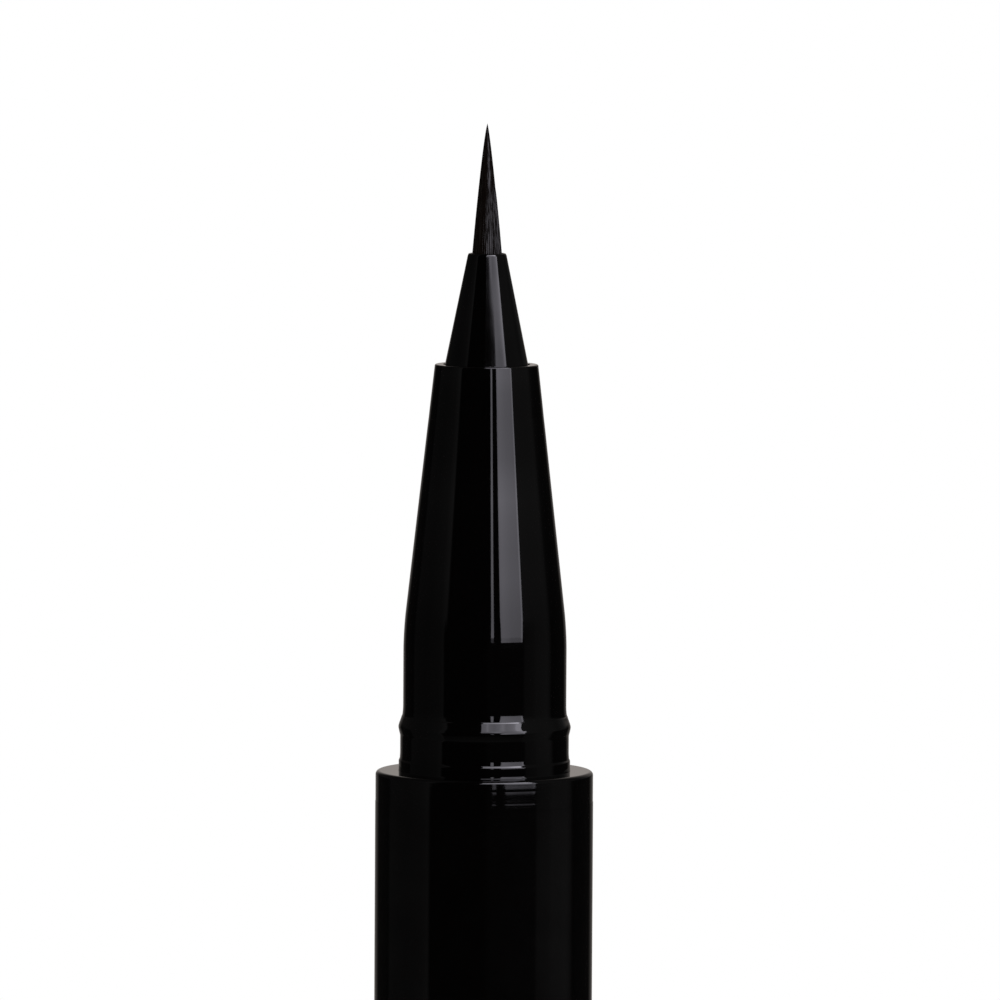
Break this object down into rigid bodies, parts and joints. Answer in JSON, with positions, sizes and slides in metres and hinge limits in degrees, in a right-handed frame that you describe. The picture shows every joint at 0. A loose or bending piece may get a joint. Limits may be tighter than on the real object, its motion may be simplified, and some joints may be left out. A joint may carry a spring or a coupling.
{
  "type": "eyebrow pen",
  "caption": "Slim gloss-black liquid eyebrow pen with a fine brush tip, open, its snap cap pushed onto the tail.",
  "frame": {"origin": "centre of the cap's closed end, on which the open pen stands", "axes": "+Z along the pen's axis, from the cap's closed end up to the brush; +X and +Y across it, the pen being round"},
  "size_m": [0.0108, 0.0108, 0.1658],
  "materials": {
    "gloss_black": "polished moulded plastic",
    "brush_filament": "drawn filaments, satin",
    "natural_acetal": "satin moulded",
    "natural_polypropylene": "milky satin",
    "seal_rubber": "matt",
    "bright_steel": "bright"
  },
  "bodies": {
    "pen": {"brush_bristles": "brush_filament", "tip_cone": "gloss_black", "front_section": "gloss_black", "feed_rod": "natural_acetal", "ink_collector": "natural_acetal", "section_seal_ring": "seal_rubber", "collar_ring": "gloss_black", "barrel_sleeve": "gloss_black", "ink_tank": "natural_polypropylene", "tank_stopper": "natural_polypropylene", "tail_plug": "gloss_black"},
    "cap": {"outer_cap": "gloss_black", "inner_cap_spring": "bright_steel"},
    "cap_liner": {"inner_cap": "natural_polypropylene"},
    "ball": {"mixing_ball": "bright_steel"}
  },
  "joints": [
    {"name": "cap_pull", "type": "slide", "parent": "pen", "child": "cap", "axis": [0, 0, -1], "range_m": [0, 0.03]},
    {"name": "inner_cap_press", "type": "slide", "parent": "cap", "child": "cap_liner", "axis": [0, 0, -1], "range_m": [0, 0.0012], "stiffness_N_per_m": 60, "springref_m": -0.0005, "deforming": ["inner_cap_spring"]},
    {"name": "ball_rattle", "type": "slide", "parent": "pen", "child": "ball", "axis": [0, 0, 1], "range_m": [0, 0.066]}
  ]
}
